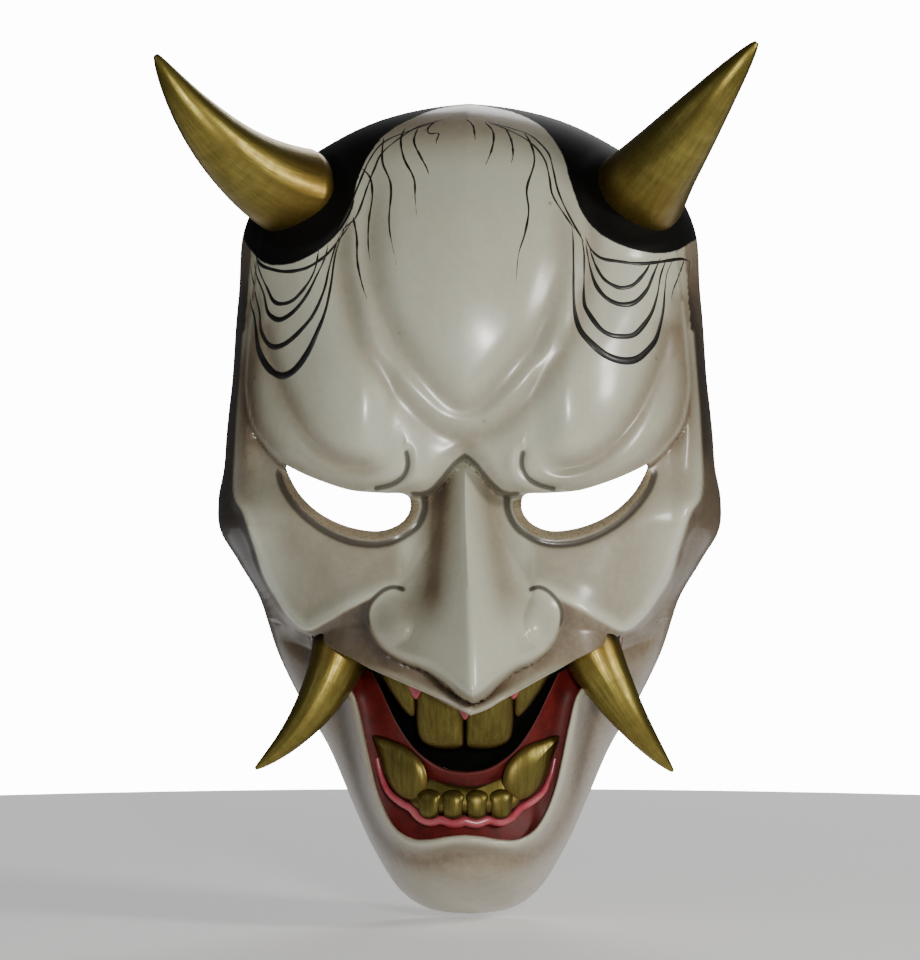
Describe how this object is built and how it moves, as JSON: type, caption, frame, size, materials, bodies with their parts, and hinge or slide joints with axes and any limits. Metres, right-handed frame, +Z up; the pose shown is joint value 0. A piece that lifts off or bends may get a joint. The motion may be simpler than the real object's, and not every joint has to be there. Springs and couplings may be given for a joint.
{
  "type": "noh mask",
  "caption": "Carved and lacquered wooden theatre mask of a horned demon, with gilt horns, tusks and teeth in an open red mouth, hollow behind.",
  "frame": {"origin": "middle of the open back in the plane of the back rim, level with the cord holes", "axes": "+Z up, to the crown; +Y backwards, to the wearer's head, and the face looks along -Y; +X to the wearer's left"},
  "size_m": [0.1998, 0.0955, 0.2869],
  "materials": {
    "white_lacquer": "glossy off-white shell-white paint with brown shading in the hollows",
    "gold": "brushed gold paint over dark size, satin",
    "pink_gum": "glossy pink paint",
    "red_lining": "satin dark red lacquer",
    "black_lacquer": "satin black lacquer",
    "plain_wood": "bare cypress wood"
  },
  "bodies": {
    "root": {"face_shell": "white_lacquer", "left_horn": "gold", "right_horn": "gold", "left_horn_dowel": "plain_wood", "right_horn_dowel": "plain_wood", "left_tusk": "gold", "right_tusk": "gold", "upper_gum": "pink_gum", "lower_gum": "pink_gum", "mouth_lining": "red_lining", "mouth_backing": "black_lacquer", "upper_left_incisor": "gold", "upper_left_side_tooth": "gold", "lower_left_fang": "gold", "lower_left_inner_incisor": "gold", "lower_left_outer_incisor": "gold", "upper_right_incisor": "gold", "upper_right_side_tooth": "gold", "lower_right_fang": "gold", "lower_right_inner_incisor": "gold", "lower_right_outer_incisor": "gold"}
  },
  "joints": []
}
